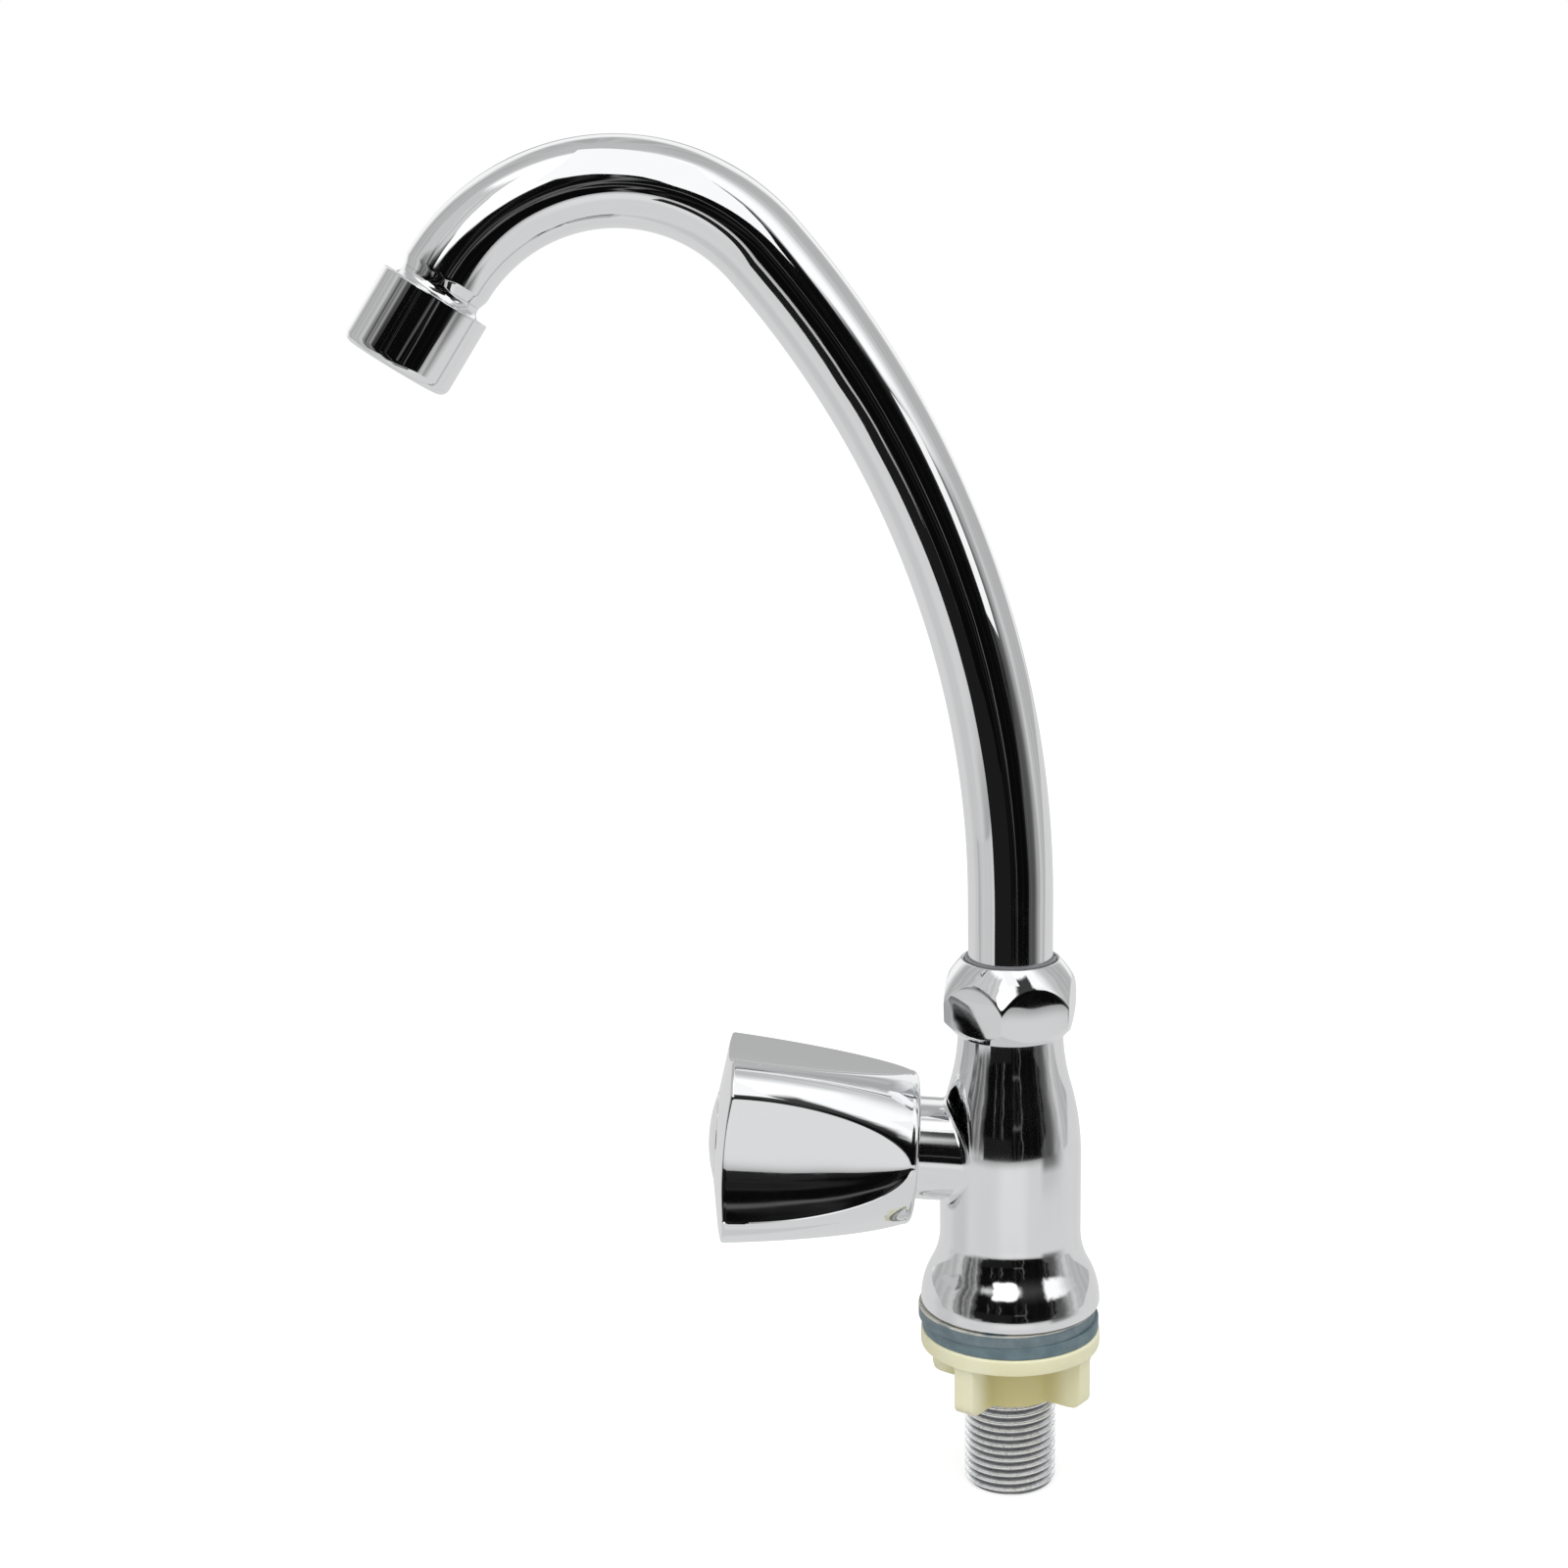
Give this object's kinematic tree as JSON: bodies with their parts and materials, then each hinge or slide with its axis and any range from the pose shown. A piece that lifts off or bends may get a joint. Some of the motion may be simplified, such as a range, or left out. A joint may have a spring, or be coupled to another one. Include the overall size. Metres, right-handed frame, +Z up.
{
  "type": "basin tap",
  "caption": "Chrome basin pillar tap with a swivelling swan-neck spout, a flat-sided side knob, an outlet aerator, and a threaded tail with washers and a winged back nut.",
  "frame": {"origin": "on the tap's upright axis at deck level, which is the underside of the upper washer", "axes": "+Z is up along the tap's axis; the knob and its valve branch point to -X and rise 4.9 degrees; -Y is the side the picture was taken from"},
  "size_m": [0.1587, 0.0529, 0.3056],
  "materials": {
    "chromed_brass": "mirror-bright chrome plate on cast brass",
    "chromed_tube": "mirror-bright chrome plate on drawn brass tube",
    "knob_plating": "bright chrome plate, slightly soft on the flats",
    "cap_plating": "bright chrome plate",
    "tail_plating": "thinly plated cut thread",
    "split_ring": "grey moulded acetal",
    "washer_rubber": "blue-grey moulded rubber, satin",
    "nut_nylon": "cream moulded nylon",
    "seal_rubber": "black rubber, lightly greased",
    "bare_brass": "turned brass",
    "disc_ceramic": "lapped alumina",
    "screen_steel": "woven stainless wire, drawn as plain discs",
    "insert_plastic": "light grey moulded plastic",
    "screw_steel": "zinc-plated steel",
    "clip_steel": "spring steel"
  },
  "bodies": {
    "tap_body": {"body": "chromed_brass", "threaded_tail": "tail_plating", "upper_washer": "washer_rubber", "spout_nut": "chromed_brass", "spout_split_ring": "split_ring", "valve_bonnet": "bare_brass", "bonnet_seal": "seal_rubber", "fixed_disc": "disc_ceramic", "seat_seal": "seal_rubber"},
    "spout": {"spout_tube": "chromed_tube", "spout_tailpiece": "bare_brass", "spout_seals": "seal_rubber", "outlet_adaptor": "chromed_tube", "aerator_housing": "chromed_tube", "aerator_washer": "seal_rubber", "aerator_insert": "insert_plastic", "aerator_screens": "screen_steel"},
    "handle": {"handle_knob": "knob_plating", "handle_screw": "screw_steel", "index_cap": "cap_plating", "valve_spindle": "bare_brass", "spindle_seals": "seal_rubber", "spindle_clip": "clip_steel", "moving_disc": "disc_ceramic"},
    "clamp_washer": {"lower_washer": "washer_rubber"},
    "clamp_nut": {"back_nut": "nut_nylon"}
  },
  "joints": [
    {"name": "spout_swivel", "type": "hinge", "parent": "tap_body", "child": "spout", "pos_m": [0, 0, 0.0776], "axis": [0, 0, 1], "continuous": true},
    {"name": "handle_turn", "type": "hinge", "parent": "tap_body", "child": "handle", "pos_m": [0, 0, 0.0387], "axis": [-0.9963, 0, 0.0854], "range_deg": [0, 90]},
    {"name": "nut_turn", "type": "hinge", "parent": "clamp_washer", "child": "clamp_nut", "pos_m": [0, 0, 0], "axis": [0, 0, -1], "range_deg": [0, 3969]},
    {"name": "washer_slide", "type": "slide", "parent": "tap_body", "child": "clamp_washer", "axis": [0, 0, -1], "range_m": [0, 0.02]}
  ],
  "couplings": [
    {"joint": "nut_turn", "follows": "washer_slide", "rad_per_m": 3463.1}
  ]
}
